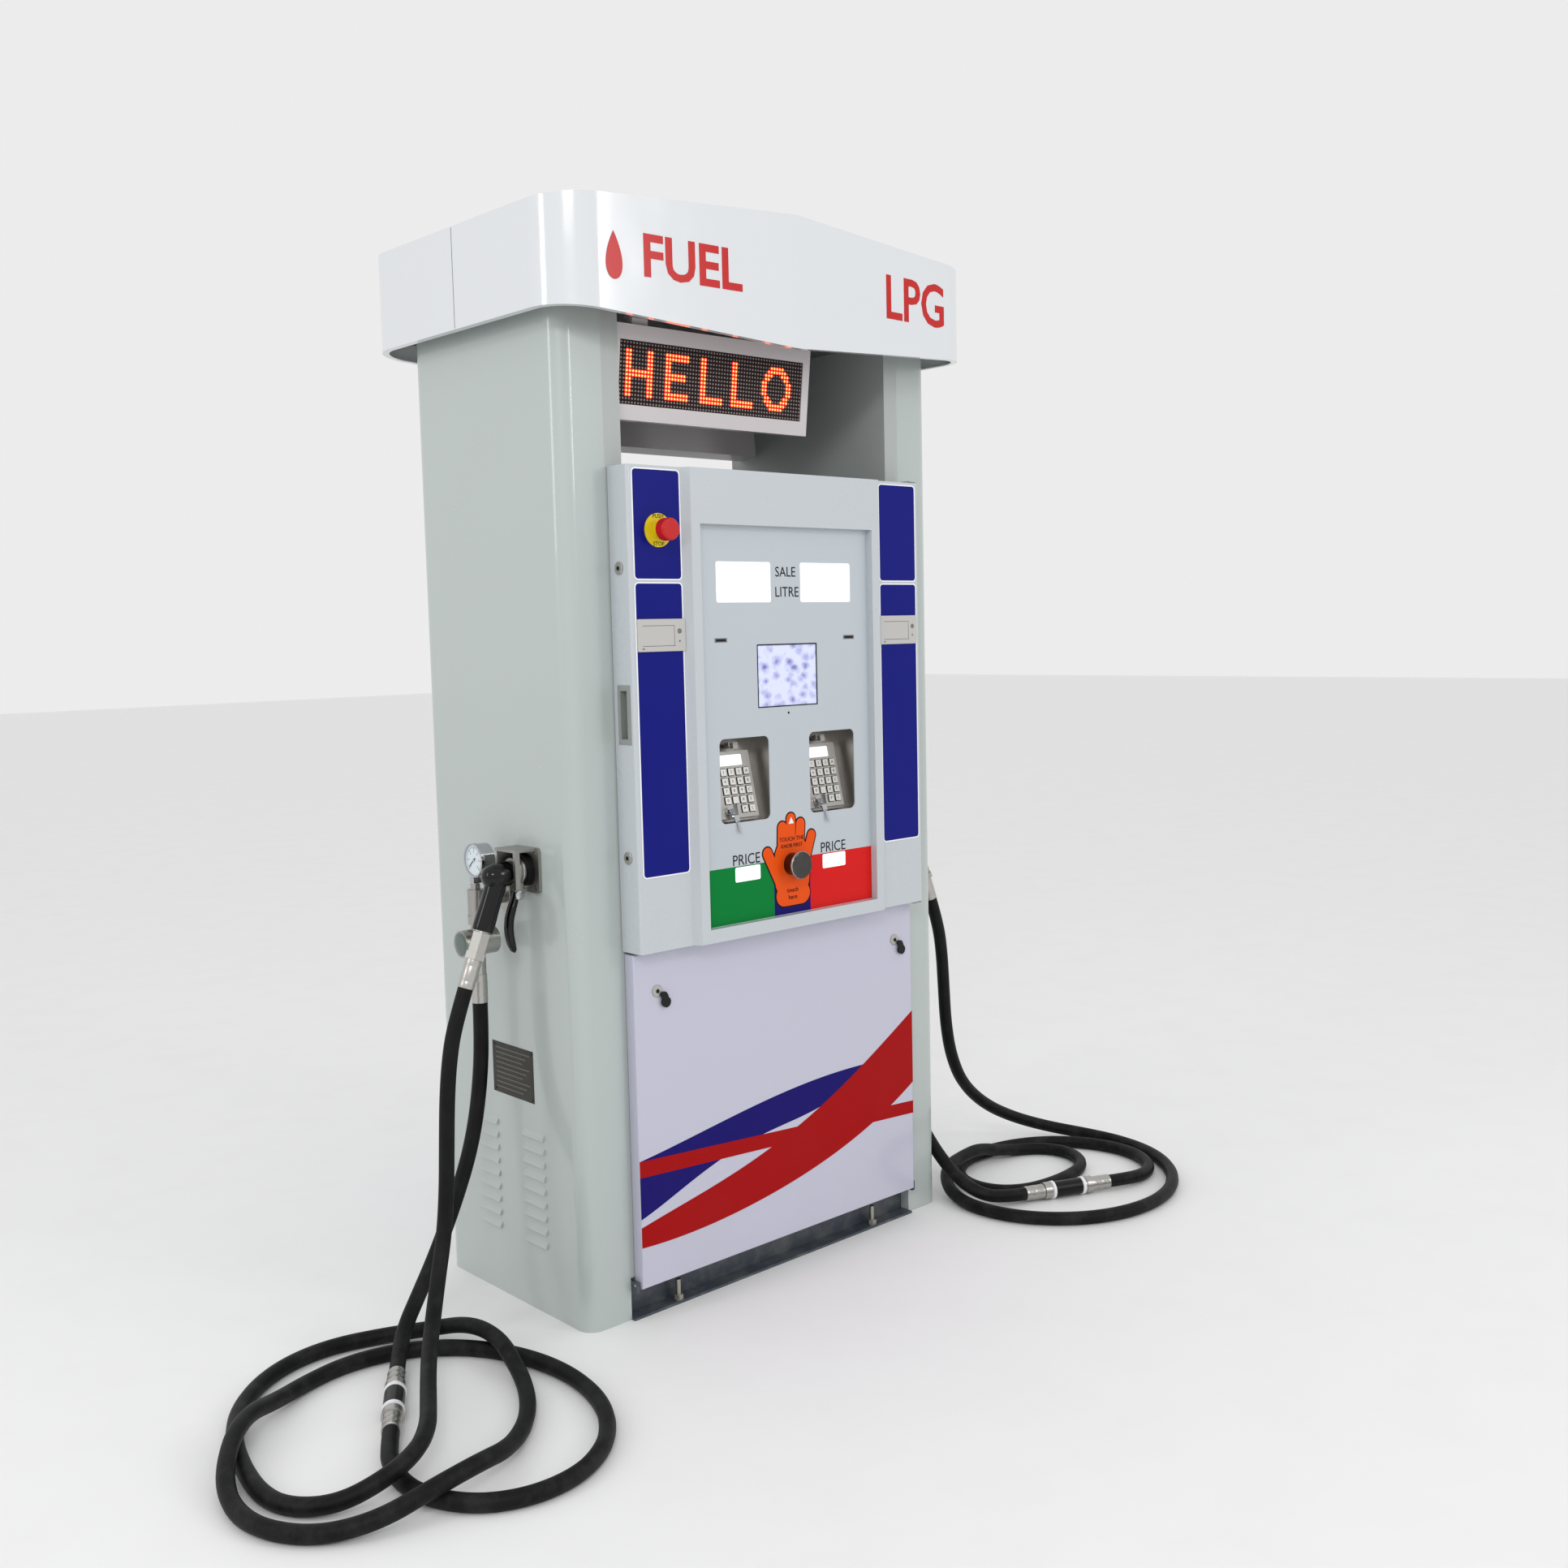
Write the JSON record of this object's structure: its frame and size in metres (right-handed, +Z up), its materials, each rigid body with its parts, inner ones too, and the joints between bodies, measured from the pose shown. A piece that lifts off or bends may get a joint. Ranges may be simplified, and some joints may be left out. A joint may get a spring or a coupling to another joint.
{
  "type": "gas fuel dispenser",
  "caption": "Free-standing twin-hose gas fuel dispenser: steel cabinet with hinged doors, canopy, hinged lower panels, nozzles in side boots and hoses on the floor.",
  "frame": {"origin": "centre of the cabinet's footprint at floor level", "axes": "+Z up, -Y towards the customer at the front door, +X along the front to the customer's right"},
  "size_m": [2.2692, 0.9998, 2.0315],
  "materials": {
    "barrier_paint": "satin",
    "base_paint": "satin blue-grey",
    "blue_film": "printed film",
    "cabinet_paint": "semi-gloss powder coat",
    "cast_stainless": "satin cast",
    "chrome": "polished",
    "dark_plastic": "satin",
    "display_glass": "clear over a pale display",
    "gauge_case": "polished",
    "gloss_white_paint": "gloss powder coat",
    "grip_rubber": "gloss moulded",
    "hose_rubber": "smooth cover",
    "led_board": "printed board with lamps",
    "led_case": "satin",
    "nameplate_metal": "dark anodised",
    "panel_paint": "gloss with printed bands",
    "printed_overlay": "printed film",
    "reader_plastic": "textured",
    "red_plastic": "gloss",
    "screen_glass": "dark glass",
    "sight_metal": "turned",
    "stainless": "brushed",
    "tank_paint": "satin",
    "yellow_plastic": "satin",
    "zinc": "zinc plated"
  },
  "bodies": {
    "cabinet": {"base_frame": "base_paint", "anchor_bolts": "zinc", "left_side_shell": "cabinet_paint", "right_side_shell": "cabinet_paint", "inner_walls": "barrier_paint", "vapour_barrier": "barrier_paint", "canopy_front_fascia": "gloss_white_paint", "canopy_rear_fascia": "gloss_white_paint", "canopy_soffit": "barrier_paint", "canopy_roof": "gloss_white_paint", "led_boxes": "led_case", "led_matrices": "led_board", "nameplate": "nameplate_metal", "nozzle_boots": "cast_stainless", "outlet_manifolds": "cast_stainless", "sight_glasses": "sight_metal", "pressure_gauges": "gauge_case", "left_hose": "hose_rubber", "left_tail_hose": "hose_rubber", "left_breakaway": "cast_stainless", "right_hose": "hose_rubber", "right_tail_hose": "hose_rubber", "right_breakaway": "cast_stainless", "gas_separator": "tank_paint", "flow_meters": "tank_paint", "process_pipes": "stainless", "junction_box": "tank_paint"},
    "front_door": {"front_door": "cabinet_paint", "door_handle_cup": "zinc", "front_blue_panels": "blue_film", "front_card_readers": "reader_plastic", "front_face_plate": "printed_overlay", "front_display_windows": "display_glass", "media_screen": "screen_glass", "keypad_bowls": "stainless", "esd_knob": "chrome", "estop_collar": "yellow_plastic"},
    "estop_stem": {"estop_stem": "dark_plastic"},
    "estop_mushroom": {"estop_mushroom": "red_plastic"},
    "keypad_keys": {"keypad_keys": "stainless"},
    "left_key_switch": {"left_key_switch": "chrome"},
    "right_key_switch": {"right_key_switch": "chrome"},
    "upper_door_lock": {"upper_door_lock": "chrome"},
    "lower_door_lock": {"lower_door_lock": "chrome"},
    "rear_door": {"rear_door": "cabinet_paint", "rear_displays": "blue_film"},
    "rear_door_lock": {"rear_door_lock": "chrome"},
    "front_lower_panel": {"front_lower_panel": "panel_paint"},
    "left_panel_lock": {"left_panel_lock": "chrome"},
    "right_panel_lock": {"right_panel_lock": "chrome"},
    "left_lock_cover": {"left_lock_cover": "dark_plastic"},
    "right_lock_cover": {"right_lock_cover": "dark_plastic"},
    "rear_lower_panel": {"rear_lower_panel": "panel_paint"},
    "rear_panel_lock": {"rear_panel_lock": "chrome"},
    "left_nozzle": {"left_nozzle": "grip_rubber"},
    "left_swivel": {"left_swivel": "cast_stainless"},
    "left_trigger": {"left_trigger": "dark_plastic"},
    "right_nozzle": {"right_nozzle": "grip_rubber"},
    "right_swivel": {"right_swivel": "cast_stainless"},
    "right_trigger": {"right_trigger": "dark_plastic"}
  },
  "joints": [
    {"name": "front_door_hinge", "type": "hinge", "parent": "cabinet", "child": "front_door", "pos_m": [0.366, -0.289, 1.129], "axis": [0, 0, 1], "range_deg": [0, 110]},
    {"name": "estop_press", "type": "slide", "parent": "front_door", "child": "estop_stem", "axis": [0, 1, 0], "range_m": [0, 0.005]},
    {"name": "estop_twist_release", "type": "hinge", "parent": "estop_stem", "child": "estop_mushroom", "pos_m": [-0.309, -0.33, 1.4505], "axis": [0, 1, 0], "range_deg": [0, 40]},
    {"name": "keypad_press", "type": "slide", "parent": "front_door", "child": "keypad_keys", "axis": [0, 0.9744, -0.225], "range_m": [0, 0.001], "stiffness_N_per_m": 400, "springref_m": -0.002},
    {"name": "left_key_turn", "type": "hinge", "parent": "front_door", "child": "left_key_switch", "pos_m": [-0.143, -0.28225, 0.93178], "axis": [0, -0.9744, 0.225], "range_deg": [0, 90]},
    {"name": "right_key_turn", "type": "hinge", "parent": "front_door", "child": "right_key_switch", "pos_m": [0.087, -0.28225, 0.93178], "axis": [0, -0.9744, 0.225], "range_deg": [0, 90]},
    {"name": "upper_door_lock_turn", "type": "hinge", "parent": "front_door", "child": "upper_door_lock", "pos_m": [-0.3736, -0.2685, 1.384], "axis": [1, 0, 0], "range_deg": [0, 90]},
    {"name": "lower_door_lock_turn", "type": "hinge", "parent": "front_door", "child": "lower_door_lock", "pos_m": [-0.3736, -0.2685, 0.868], "axis": [1, 0, 0], "range_deg": [0, 90]},
    {"name": "rear_door_hinge", "type": "hinge", "parent": "cabinet", "child": "rear_door", "pos_m": [-0.366, 0.289, 1.129], "axis": [0, 0, 1], "range_deg": [0, 110]},
    {"name": "rear_door_lock_turn", "type": "hinge", "parent": "rear_door", "child": "rear_door_lock", "pos_m": [0.3736, 0.2685, 1.384], "axis": [-1, 0, 0], "range_deg": [0, 90]},
    {"name": "front_panel_tilt", "type": "hinge", "parent": "cabinet", "child": "front_lower_panel", "pos_m": [0, -0.252, 0.0685], "axis": [1, 0, 0], "range_deg": [0, 25]},
    {"name": "left_panel_lock_turn", "type": "hinge", "parent": "front_lower_panel", "child": "left_panel_lock", "pos_m": [-0.317, -0.25, 0.6155], "axis": [0, -1, 0], "range_deg": [0, 90]},
    {"name": "right_panel_lock_turn", "type": "hinge", "parent": "front_lower_panel", "child": "right_panel_lock", "pos_m": [0.317, -0.25, 0.6155], "axis": [0, 1, 0], "range_deg": [0, 90]},
    {"name": "left_lock_cover_swing", "type": "hinge", "parent": "front_lower_panel", "child": "left_lock_cover", "pos_m": [-0.304, -0.268, 0.606], "axis": [0, -1, 0], "range_deg": [0, 110]},
    {"name": "right_lock_cover_swing", "type": "hinge", "parent": "front_lower_panel", "child": "right_lock_cover", "pos_m": [0.33, -0.268, 0.606], "axis": [0, -1, 0], "range_deg": [0, 110]},
    {"name": "rear_panel_tilt", "type": "hinge", "parent": "cabinet", "child": "rear_lower_panel", "pos_m": [0, 0.252, 0.0685], "axis": [-1, 0, 0], "range_deg": [0, 25]},
    {"name": "rear_panel_lock_turn", "type": "hinge", "parent": "rear_lower_panel", "child": "rear_panel_lock", "pos_m": [0, 0.25, 0.6155], "axis": [0, 1, 0], "range_deg": [0, 90]},
    {"name": "left_nozzle_draw", "type": "slide", "parent": "cabinet", "child": "left_nozzle", "axis": [-1, 0, 0], "range_m": [0, 0.07], "deforming": ["left_hose"]},
    {"name": "left_swivel_turn", "type": "hinge", "parent": "left_nozzle", "child": "left_swivel", "pos_m": [-0.58556, -0.1, 0.72658], "axis": [-0.3714, 0, -0.9285], "continuous": true, "deforming": ["left_hose"]},
    {"name": "left_trigger_squeeze", "type": "hinge", "parent": "left_nozzle", "child": "left_trigger", "pos_m": [-0.505, -0.1, 0.801], "axis": [0, 1, 0], "range_deg": [0, 18], "stiffness_Nm_per_rad": 0.6, "springref_deg": -20.05},
    {"name": "right_nozzle_draw", "type": "slide", "parent": "cabinet", "child": "right_nozzle", "axis": [1, 0, 0], "range_m": [0, 0.07], "deforming": ["right_hose"]},
    {"name": "right_swivel_turn", "type": "hinge", "parent": "right_nozzle", "child": "right_swivel", "pos_m": [0.58556, -0.1, 0.72658], "axis": [0.3714, 0, -0.9285], "continuous": true, "deforming": ["right_hose"]},
    {"name": "right_trigger_squeeze", "type": "hinge", "parent": "right_nozzle", "child": "right_trigger", "pos_m": [0.505, -0.1, 0.801], "axis": [0, -1, 0], "range_deg": [0, 18], "stiffness_Nm_per_rad": 0.6, "springref_deg": -20.05}
  ]
}
